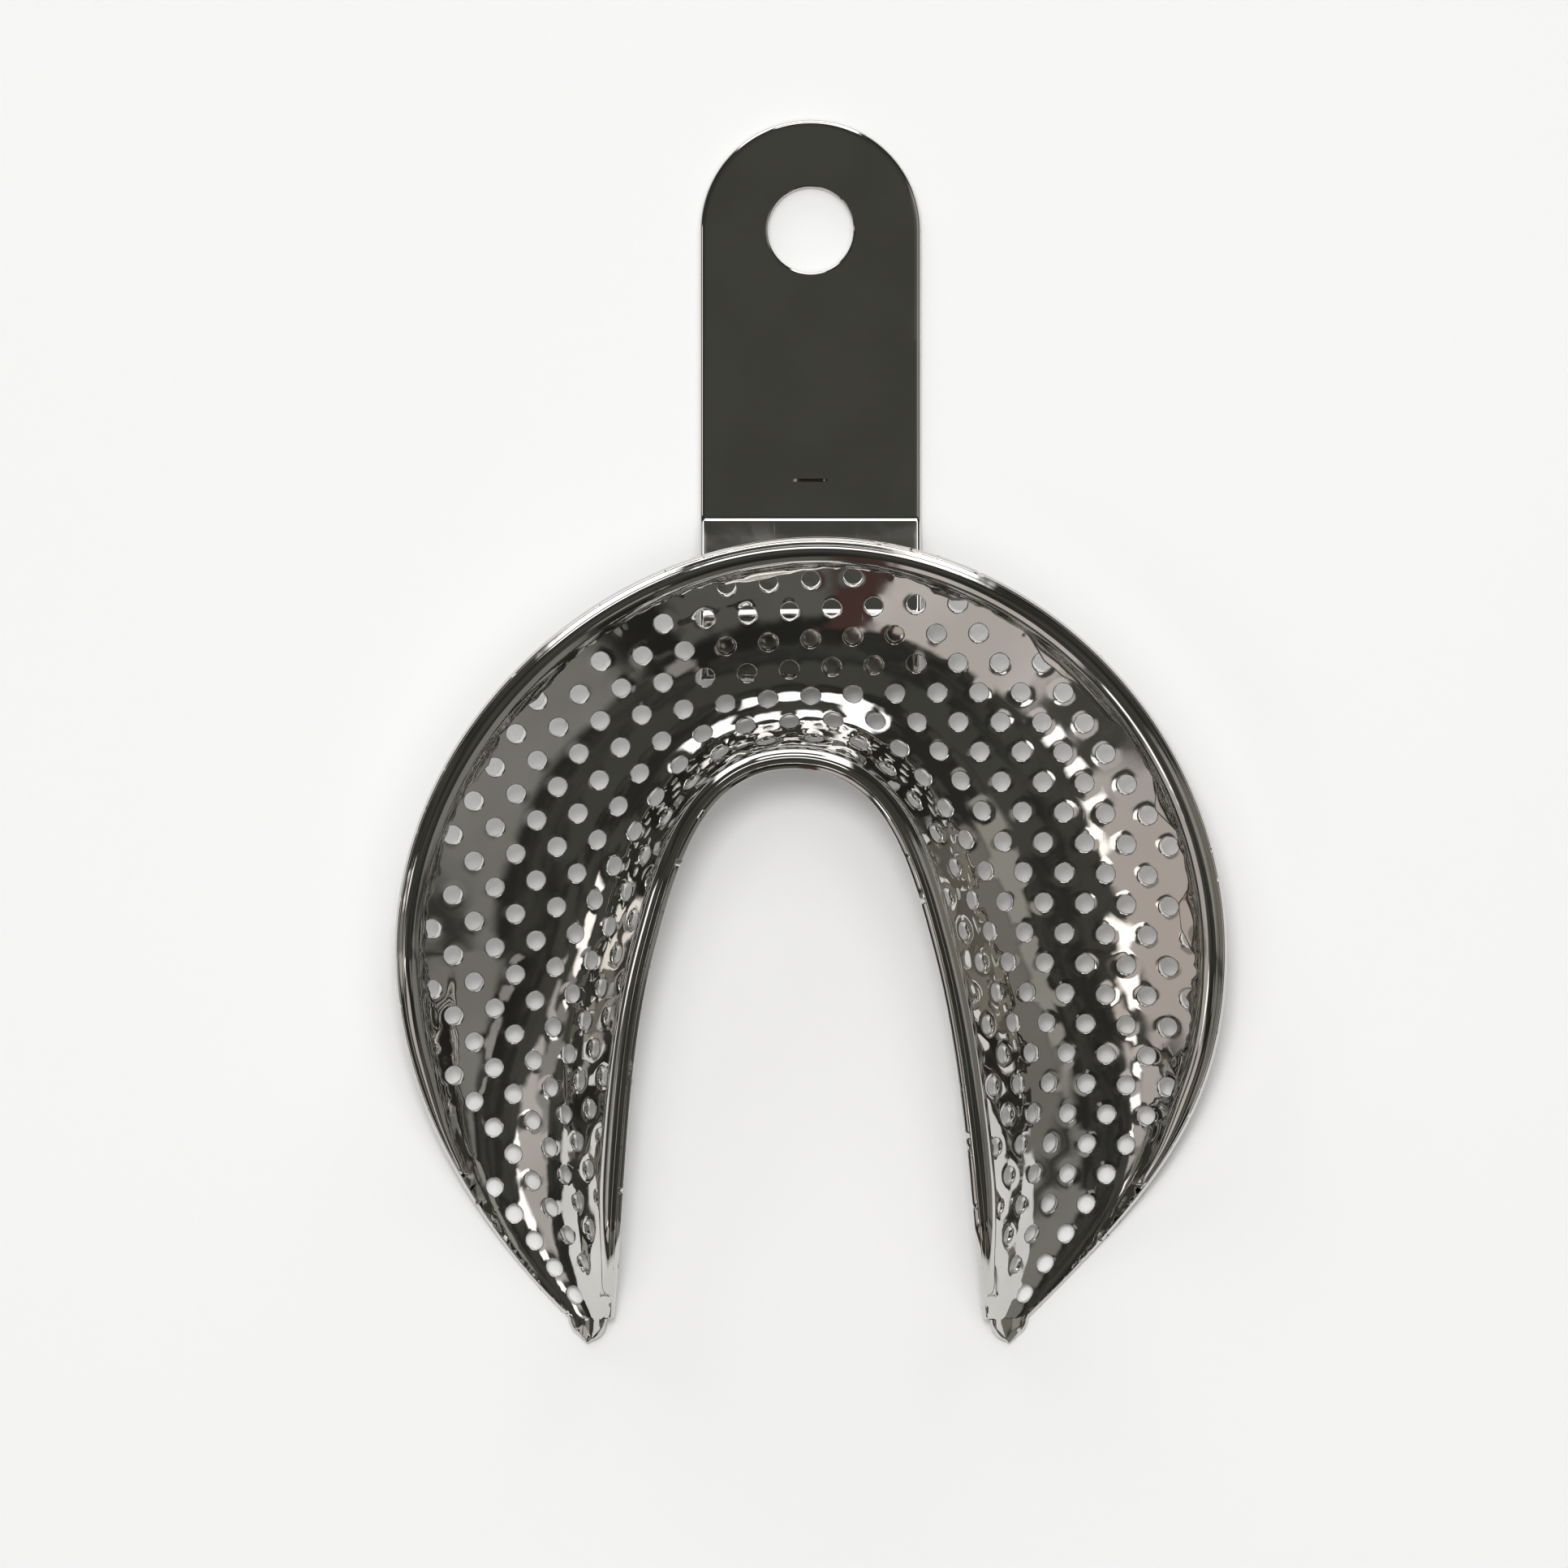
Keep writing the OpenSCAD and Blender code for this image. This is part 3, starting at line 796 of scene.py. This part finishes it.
def rimWire(name):
    q, edge, into, n, scale = rimPath(name)
    cap = np.sqrt(np.clip(1 - (np.abs(q) / rim["ends"][name]) ** 110, 0.03, 1))
    path = helper(name + " rim path", edge, edges=[(k, k + 1) for k in range(len(q) - 1)])
    for label, values in (("into", into), ("rise", n)):
        path.data.attributes.new(label, "FLOAT_VECTOR", "POINT").data.foreach_set("vector", values.ravel())
    path.data.attributes.new("scale", "FLOAT", "POINT").data.foreach_set("value", scale * cap)
    # the section, as a closed ring laid in X (into the channel) and Y (up)
    turns = np.linspace(0, math.pi, 19)
    ring = [wireSpot(a) for a in turns]
    section = helper("wire section", [(x, z, 0) for x, z in ring],
                     edges=[(k, (k + 1) % len(ring)) for k in range(len(ring))])
    sweep = NodeTree(name + " rim wire", {"Section": "NodeSocketObject", "Sides": "NodeSocketInt"})
    shape = sweep.node("GeometryNodeObjectInfo", Object=sweep.given["Section"])
    rows = sweep.node(
        "GeometryNodeInstanceOnPoints", Points=sweep.given["Geometry"], Instance=shape.outputs["Geometry"])
    # each copy is turned so that X runs into the channel and Y off the sheet
    inward = sweep.node("GeometryNodeInputNamedAttribute", {"data_type": "FLOAT_VECTOR"}, Name="into")
    offSheet = sweep.node("GeometryNodeInputNamedAttribute", {"data_type": "FLOAT_VECTOR"}, Name="rise")
    turned = sweep.node(
        "FunctionNodeAxesToRotation", {"primary_axis": "X", "secondary_axis": "Y"},
        PrimaryAxis=inward.outputs["Attribute"], SecondaryAxis=offSheet.outputs["Attribute"])
    size = sweep.node("GeometryNodeInputNamedAttribute", {"data_type": "FLOAT"}, Name="scale")
    sweep.tree.links.new(turned.outputs[0], rows.inputs["Rotation"])
    sweep.tree.links.new(size.outputs["Attribute"], rows.inputs["Scale"])
    mesh = sweep.run(path, rows.outputs[0], steelWire, **{"Section": section, "Sides": len(ring)})
    points = np.zeros(len(mesh.vertices) * 3)
    mesh.vertices.foreach_get("co", points)
    wire = makeMesh(name + "RimWire", points.reshape(-1, 3) / mm, tubeFaces(len(q), len(ring)), steelWire)
    for extra in (path, section):
        bpy.data.objects.remove(extra)
    fixNormals(wire)
    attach(wire, "root")
    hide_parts(name + "_rim_wire")
    print(name, "rim wire:", len(wire.data.polygons), "faces")


def tubeFaces(count, around):
    found = []
    for k in range(count - 1):
        for j in range(around):
            a, b = k * around + j, k * around + (j + 1) % around
            found.append([a, b, b + around, a + around])
    last = (count - 1) * around
    return found + [list(range(around))[::-1], [last + j for j in range(around)]]


def wander(q, seed, waveCount, terms=9):
    picks = np.random.default_rng(seed)
    total = 0 * q
    for k in range(terms):
        turns = waveCount * picks.uniform(0.3, 1.6)
        total = total + np.sin(turns * 2 * math.pi * q + picks.uniform(0, 6.28)) / terms**0.5
    return total


def bezierRow(a, b, c, d, steps):
    u = np.linspace(0, 1, steps + 1)[:, None]
    return (1 - u) ** 3 * a + 3 * u * (1 - u) ** 2 * b + 3 * u * u * (1 - u) * c + u**3 * d


# The solder's section: up the outside of the wire, under its crown, and down a
# fillet to a thin toe
def solderSection(toe, innerAngle):
    x0, x1 = rim["lip"], rim["lip"] + rim["wireWidth"]
    outerTouch = np.array(wireSpot(math.radians(158))) + (-0.004, 0.004)
    innerTouch = np.array(wireSpot(math.radians(innerAngle))) + (0.004, 0.004)
    near = np.array(wireSpot(math.radians(innerAngle - 5)))
    down = unit((near - innerTouch + (0.004, 0.004))[None])[0]
    end = np.array([x1 + toe, rim["toeHeight"]])
    reach = np.linalg.norm(end - innerTouch)
    fillet = bezierRow(innerTouch, innerTouch + down * reach * 0.36, end - (reach * 0.42, -0.03), end, 12)
    start = np.array([0.05, 0.0])
    outer = bezierRow(start, start + (0.02, 0.12), outerTouch - (0.09, 0.17), outerTouch, 6)
    under = [(x0 + 0.5, 0.3), (x1 - 0.6, 0.3)]
    edge = [end + (0.05, -0.015), end + (0.08, -0.05), end + (0.09, -0.12), (x1 - 0.3, -0.08), (0.12, -0.06)]
    return np.concatenate([outer, under, fillet, edge])


def rimSolder(name, seed):
    q, edge, into, n, scale = rimPath(name)
    run = ramp(wander(q, seed, 9), -0.3, 1.6) * rim["toeSpread"] + 0.12 * wander(q, seed + 1, 38)
    if name == "outer":
        run = run * (0.75 + 0.5 * ramp(q, -0.1, 0.5))
    toes = np.clip(rim["toe"] + run, 0.2, 1.7)
    angles = np.clip(36 + 7 * wander(q, seed + 2, 14), 22, 52)
    rings = []
    for k in range(len(q)):
        section = solderSection(toes[k], angles[k]) * scale[k]
        rings.append(edge[k] + into[k] * section[:, :1] + n[k] * section[:, 1:])
    solderFaces = tubeFaces(len(rings), len(rings[0]))
    solder = makeMesh(name + "RimSolder", np.concatenate(rings), solderFaces, solderMetal)
    fixNormals(solder)
    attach(solder, "root")
    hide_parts(name + "_rim_solder")
    print(name, "rim solder:", len(solder.data.polygons), "faces")


def fixNormals(piece):
    shape = bmesh.new()
    shape.from_mesh(piece.data)
    bmesh.ops.recalc_face_normals(shape, faces=shape.faces)
    shape.to_mesh(piece.data)
    shape.free()


for name, seed in (("outer", 3), ("inner", 11)):
    rimWire(name)
    rimSolder(name, seed)

# Handle

grip = {
    "width": handleHigh[0] - handleLow[0],
    "thickness": 1.2,
    "holeDiameter": 7.7,
    "bendRadius": 1.5,
    "bendGap": 2.1,
    "footLength": 5.0,
    "rounding": 0.36,
    "holeRounding": 0.2,
    "markLength": 2.4,
    "markWidth": 0.26,
    "markDepth": 0.05,
    "markDistance": 3.15,
}
footStart = handleLow[1]
footTop = handleHigh[2]
footEnd = footStart + 0.4 + grip["footLength"]
bendY = frontY + grip["bendGap"]
gripEnd = handleHigh[1]
halfWidth = grip["width"] / 2
holeY = gripEnd - halfWidth
runY = bendY - footEnd
dropZ = footTop - grip["thickness"]
bendSum = 2 * grip["bendRadius"] + grip["thickness"]
slopeRun = math.sqrt(runY**2 + (dropZ - bendSum) ** 2 - bendSum**2)
slopeAngle = math.atan2(bendSum, slopeRun) - math.atan2(bendSum - dropZ, runY)
footRun = footEnd - footStart
middleBend = grip["bendRadius"] + grip["thickness"] / 2
bendArc = middleBend * slopeAngle
firstStraight = footRun + bendArc
secondBend = firstStraight + slopeRun
lastStraight = secondBend + bendArc


# Place of a point of the straightened strip, s along it and h up from its underside
def bentStrip(x, s, h):
    t, r = grip["thickness"], grip["bendRadius"]
    y, z = np.zeros(len(s)), np.zeros(len(s))
    on = s <= footRun
    y[on], z[on] = footStart + s[on], footTop - t + h[on]
    on = (s > footRun) & (s <= firstStraight)
    a = (s[on] - footRun) / middleBend
    y[on] = footEnd + (r + h[on]) * np.sin(a)
    z[on] = footTop - t - r + (r + h[on]) * np.cos(a)
    on = (s > firstStraight) & (s <= secondBend)
    d = s[on] - firstStraight
    y[on] = footEnd + (r + h[on]) * math.sin(slopeAngle) + d * math.cos(slopeAngle)
    z[on] = footTop - t - r + (r + h[on]) * math.cos(slopeAngle) - d * math.sin(slopeAngle)
    on = (s > secondBend) & (s <= lastStraight)
    a = slopeAngle - (s[on] - secondBend) / middleBend
    y[on] = bendY - (r + t - h[on]) * np.sin(a)
    z[on] = t + r - (r + t - h[on]) * np.cos(a)
    on = s > lastStraight
    y[on], z[on] = bendY + s[on] - lastStraight, h[on]
    return np.column_stack([x, y, z])


toY = bendY - lastStraight  # from a distance along the strip to Y, past the last bend
squareStart = holeY - halfWidth - toY
markAt = lastStraight + grip["markDistance"]
xs = sorted({round(v, 4) for v in np.linspace(-halfWidth, halfWidth, 25)}
            | {-grip["markLength"] / 2, -grip["markLength"] / 2 + 0.04,
               grip["markLength"] / 2 - 0.04, grip["markLength"] / 2})
ss = sorted({round(v, 4) for v in np.concatenate([
    np.linspace(0, footRun, 6), np.linspace(footRun, firstStraight, 9),
    np.linspace(firstStraight, secondBend, 7), np.linspace(secondBend, lastStraight, 13),
    np.linspace(lastStraight, squareStart, 16),
    markAt + np.array([-0.5, -0.46, -0.25, 0.25, 0.46, 0.5]) * grip["markWidth"]])})
flatPoints = [(x, s) for s in ss for x in xs]
wide = len(xs)
flatFaces = []
for r in range(len(ss) - 1):
    for k in range(wide - 1):
        a = r * wide + k
        flatFaces.append([a, a + 1, a + 1 + wide, a + wide])
# Rings round the hanging hole, out to the strip's round end and sides
holeS = holeY - toY
top = [(halfWidth * math.cos(a), holeS + halfWidth * math.sin(a)) for a in np.linspace(0, math.pi, 61)]
leftSide = [(-halfWidth, holeS - halfWidth * k / 8) for k in range(1, 8)]
rightSide = [(halfWidth, holeS - halfWidth * (8 - k) / 8) for k in range(1, 8)]
bottomRow = [(x, squareStart) for x in xs]
border = np.array(top + leftSide + bottomRow + rightSide)
ringCount = len(border)
hub = np.array([0, holeS])
innerRing = hub + unit(border - hub) * grip["holeDiameter"] / 2
base = len(flatPoints)
bottomIds = {len(top) + len(leftSide) + k: (len(ss) - 1) * wide + k for k in range(wide)}
shares = (0, 0.1, 0.3, 0.55, 0.8, 1)
ids = []
for share in shares:
    row = []
    for k in range(ringCount):
        if share == 1 and k in bottomIds:
            row.append(bottomIds[k])
            continue
        flatPoints.append(tuple(innerRing[k] + (border[k] - innerRing[k]) * share))
        row.append(len(flatPoints) - 1)
    ids.append(row)
for lower, upper in zip(ids, ids[1:]):
    for k in range(ringCount):
        m = (k + 1) % ringCount
        flatFaces.append([lower[k], upper[k], upper[m], lower[m]])
flatPoints = np.array(flatPoints)
nearHole = np.linalg.norm(flatPoints - hub, axis=1) < grip["holeDiameter"] * 0.6
flat, height, handleFaces = thicken(
    flatPoints, flatFaces, grip["thickness"],
    np.where(nearHole, grip["holeRounding"], grip["rounding"]), (22, 45, 67, 90))
inMark = np.abs(flat[:, 0]) < grip["markLength"] / 2 - 0.02
inMark = inMark & (np.abs(flat[:, 1] - markAt) < grip["markWidth"] * 0.47)
height = height - grip["markDepth"] * (inMark & (height > grip["thickness"] * 0.9))
handlePoints = bentStrip(flat[:, 0], flat[:, 1], height)
handle = makeMesh("handleStrip", handlePoints, handleFaces, steelStrip)
handle.data.set_sharp_from_angle(angle=math.radians(55))
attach(handle, "root")
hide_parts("handle")
print("handle:", len(handleFaces), "faces")

# Braze under the front of the channel

braze = {"inset": 0.4, "plugDepth": 0.28, "plugDish": 0.16}
brazeX = np.linspace(braze["inset"] - halfWidth, halfWidth - braze["inset"], 41)
brazeY = np.linspace(footStart + braze["inset"], footEnd - 0.05, 19)
grid = np.array([(x, y) for y in brazeY for x in brazeX])
# the sides draw in between the foot and the channel, as a fillet does
topZ = surface(grid)[:, 2] + 0.05
across = len(brazeX)
layers = []
for share in np.linspace(0, 1, 6):
    z = (footTop - 0.03) * (1 - share) + topZ * share
    waist = 1 - 0.35 * math.sin(math.pi * share) ** 0.8
    pull = 0.5 * (1 - waist)
    x = grid[:, 0] * (1 - pull * 0.12)
    y = grid[:, 1] - pull * 0.9 * ramp(grid[:, 1], footEnd - 2.5, footEnd)
    layers.append(np.column_stack([x, y, z]))
brazeFaces = []
total = len(grid)
for r in range(len(brazeY) - 1):
    for k in range(across - 1):
        a = r * across + k
        brazeFaces.append([a, a + across, a + across + 1, a + 1])
        b = a + total * (len(layers) - 1)
        brazeFaces.append([b, b + 1, b + across + 1, b + across])
loop = [k for k in range(across)]
loop += [r * across + across - 1 for r in range(1, len(brazeY))]
loop += [(len(brazeY) - 1) * across + k for k in range(across - 2, -1, -1)]
loop += [r * across for r in range(len(brazeY) - 2, 0, -1)]
for level in range(len(layers) - 1):
    for k in range(len(loop)):
        a, b = loop[k], loop[(k + 1) % len(loop)]
        low, high = level * total, (level + 1) * total
        brazeFaces.append([a + low, b + low, b + high, a + high])
brazePoints = [np.concatenate(layers)]
# plugs of braze in the perforations above the foot
plugged = pierced & (np.abs(bowed[:, 0]) < halfWidth - braze["inset"] - holeRadius)
plugged &= (bowed[:, 1] > footStart + braze["inset"] + holeRadius) & (bowed[:, 1] < footEnd - holeRadius)
angles = np.linspace(0, 2 * math.pi, 25)[:-1]
count = total * len(layers)
for centre in bowed[plugged]:
    circle = np.column_stack([np.cos(angles), np.sin(angles)])
    ring = [centre + (holeRadius - 0.02) * r * circle for r in (1, 0.85, 0.5)]
    disc = np.concatenate(ring + [centre[None]])
    rise = sheet["thickness"] - braze["plugDepth"] + np.repeat([0.06, 0.015, -0.02, -0.025], [24, 24, 24, 1])
    brazePoints.append(surface(disc) + np.array([0, 0, 1]) * rise[:, None])
    lowRing = surface(ring[0]) - np.array([0, 0, 0.1])
    brazePoints.append(np.concatenate([lowRing, lowRing.mean(0)[None]]))
    for k in range(24):
        m = (k + 1) % 24
        brazeFaces.append([count + k, count + m, count + 24 + m, count + 24 + k])
        brazeFaces.append([count + 24 + k, count + 24 + m, count + 48 + m, count + 48 + k])
        brazeFaces.append([count + 48 + k, count + 48 + m, count + 72])
        brazeFaces.append([count + 73 + k, count + 73 + m, count + m, count + k])
        brazeFaces.append([count + 73 + m, count + 73 + k, count + 97])
    count += 98
brazePiece = makeMesh("handleBraze", np.concatenate(brazePoints), brazeFaces, brazeMetal)
fixNormals(brazePiece)
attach(brazePiece, "root")
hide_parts("handle_braze")
print("braze:", len(brazeFaces), "faces")

# Floor, light and camera

studio = {
    "floorColour": (0.88, 0.88, 0.88),
    "floorFar": (0.50, 0.50, 0.49),
    "frameWidth": 142.06,  # millimetres across the picture
    "aim": (-2.4, -4.85),
    "distance": 1500,
    # soft lamps that light the floor: direction, distance, size, radiance
    "lamps": {
        "main": ((-0.04, 0.15, 1.0), 1000, 200, 36.0),
        "fill": ((0.0, 0.06, 1.0), 1100, 1000, 2.1),
    },
    "ceiling": (0.070, 0.070, 0.062),
    "corner": (0.030, 0.030, 0.027),
    # what the metal reflects: bearing from +X, half width, and span of angles from
    # the zenith, all in degrees, then how soft the border is and the colour
    "screens": {
        "overhead": (0, 360, 0, 11, 3, (0.070, 0.070, 0.062)),
        "east wall": (3, 24, 12, 48, 5, (0.34, 0.335, 0.30)),
        "east wall foot": (3, 18, 48, 100, 5, (0.20, 0.195, 0.175)),
        "south east": (322, 15, 40, 95, 5, (0.24, 0.235, 0.215)),
        "south wall": (283, 17, 48, 78, 4, (0.12, 0.12, 0.11)),
        "south cupboard": (285, 20, 26, 45, 4, (0.022, 0.022, 0.02)),
        "dark door": (300, 5, 50, 95, 2, (0.022, 0.022, 0.02)),
        "shelf": (299, 5, 28, 39, 2, (0.34, 0.32, 0.31)),
        "south west window": (242, 16, 40, 70, 2.5, (0.64, 0.59, 0.565)),
        "west window": (203, 10, 38, 70, 3, (0.56, 0.52, 0.50)),
        "west wall": (188, 6, 50, 68, 3, (0.30, 0.285, 0.27)),
        "blind": (217, 5, 37, 50, 1.5, (1.8, 1.76, 1.72)),
        "brown door": (263, 4, 38, 74, 2, (0.075, 0.042, 0.036)),
        "west lamp": (179, 3.2, 46, 62, 1.5, (1.6, 1.5, 1.47)),
        "north window": (97, 32, 60, 100, 2.5, (2.3, 2.3, 2.35)),
        "north window left": (121, 9, 48, 66, 2.5, (2.1, 2.1, 2.15)),
        "north window right": (71, 6, 32, 62, 2.5, (2.1, 2.1, 2.15)),
        "north lamp": (88, 20, 26, 42, 2, (2.3, 2.3, 2.35)),
    },
}
floorMaterial = bpy.data.materials.new("pale floor")
floorMaterial.use_nodes = True
floorPaint = Paint(floorMaterial.node_tree)
floorPlace = floorPaint.add("ShaderNodeTexCoord", out="Object")
fromMiddle = floorPaint.add(
    "ShaderNodeVectorMath", {"operation": "LENGTH"}, {"Vector": floorPlace}, "Value")
grain = floorPaint.add(
    "ShaderNodeTexNoise", None, {"Vector": floorPlace, "Scale": 12.0, "Detail": 2.0}, "Fac")
paper = floorPaint.mix(fromMiddle.ramped(0.10, 0.20), studio["floorColour"], studio["floorFar"])
paper = floorPaint.mix(grain.ramped(0.3, 0.7) * 0.03, paper, (0.7, 0.7, 0.7))
floorShader = floorPaint.add("ShaderNodeBsdfPrincipled", None, {"Base Color": paper, "Roughness": 0.9})
floorPaint.add("ShaderNodeOutputMaterial", None, {"Surface": floorShader})
half = 3000
floor = makeMesh(
    "floor", [(-half, -half, -0.02), (half, -half, -0.02), (half, half, -0.02), (-half, half, -0.02)],
    [[0, 1, 2, 3]], floorMaterial, smooth=False)

for name, (direction, distance, size, radiance) in studio["lamps"].items():
    light = bpy.data.lights.new(name, "AREA")
    light.shape = "DISK"
    light.size = size * mm
    light.energy = radiance * math.pi * math.pi * (size * mm / 2) ** 2
    lamp = bpy.data.objects.new(name + " lamp", light)
    way = Vector(direction).normalized()
    lamp.location = way * distance * mm
    lamp.rotation_euler = way.to_track_quat("Z", "Y").to_euler()
    lamp.visible_glossy = False  # it lights the floor without a glare on the handle
    bpy.context.scene.collection.objects.link(lamp)

world = bpy.data.worlds.new("studio")
world.use_nodes = True
bpy.context.scene.world = world
sky = Paint(world.node_tree)
heading = sky.add("ShaderNodeTexCoord", out="Generated")
east = sky.add("ShaderNodeSeparateXYZ", None, {"Vector": heading}, "X")
north = Shade(world.node_tree, east.socket.node.outputs["Y"])
upward = Shade(world.node_tree, east.socket.node.outputs["Z"])
level = (east * east + north * north + 0.000001) ** 0.5
mottle = sky.add("ShaderNodeTexNoise", None, {"Vector": heading, "Scale": 3.0, "Detail": 3.0}, "Fac")
tone = sky.mix(mottle.ramped(0.38, 0.62), studio["corner"], studio["ceiling"])


def cosine(angle):
    return math.cos(math.radians(min(max(angle, 0), 180)))


for bearing, halfWidth, start, end, soft, colour in studio["screens"].values():
    turn = math.radians(bearing)
    toward = (east * math.cos(turn) + north * math.sin(turn)) * level**-1
    mask = toward.ramped(cosine(halfWidth + soft), cosine(max(halfWidth - soft, 0.5)))
    if halfWidth > 180:
        mask = 1.0 - 0.0 * toward
    mask = mask * upward.ramped(cosine(start - soft), cosine(start + soft)) if start > 0 else mask
    mask = mask * upward.ramped(cosine(end + soft), cosine(end - soft))
    tone = sky.mix(mask, tone, colour)
backdrop = sky.add("ShaderNodeBackground", None, {"Color": tone, "Strength": 1.0})
sky.add("ShaderNodeOutputWorld", None, {"Surface": backdrop})

view = bpy.data.cameras.new("camera")
view.sensor_width = 36
view.lens = 36 * studio["distance"] / studio["frameWidth"]
view.clip_end = 10
camera = bpy.data.objects.new("camera", view)
camera.location = (studio["aim"][0] * mm, studio["aim"][1] * mm, studio["distance"] * mm)
bpy.context.scene.collection.objects.link(camera)
bpy.context.scene.camera = camera
bpy.context.scene.view_settings.view_transform = "Standard"
print("studio ready")
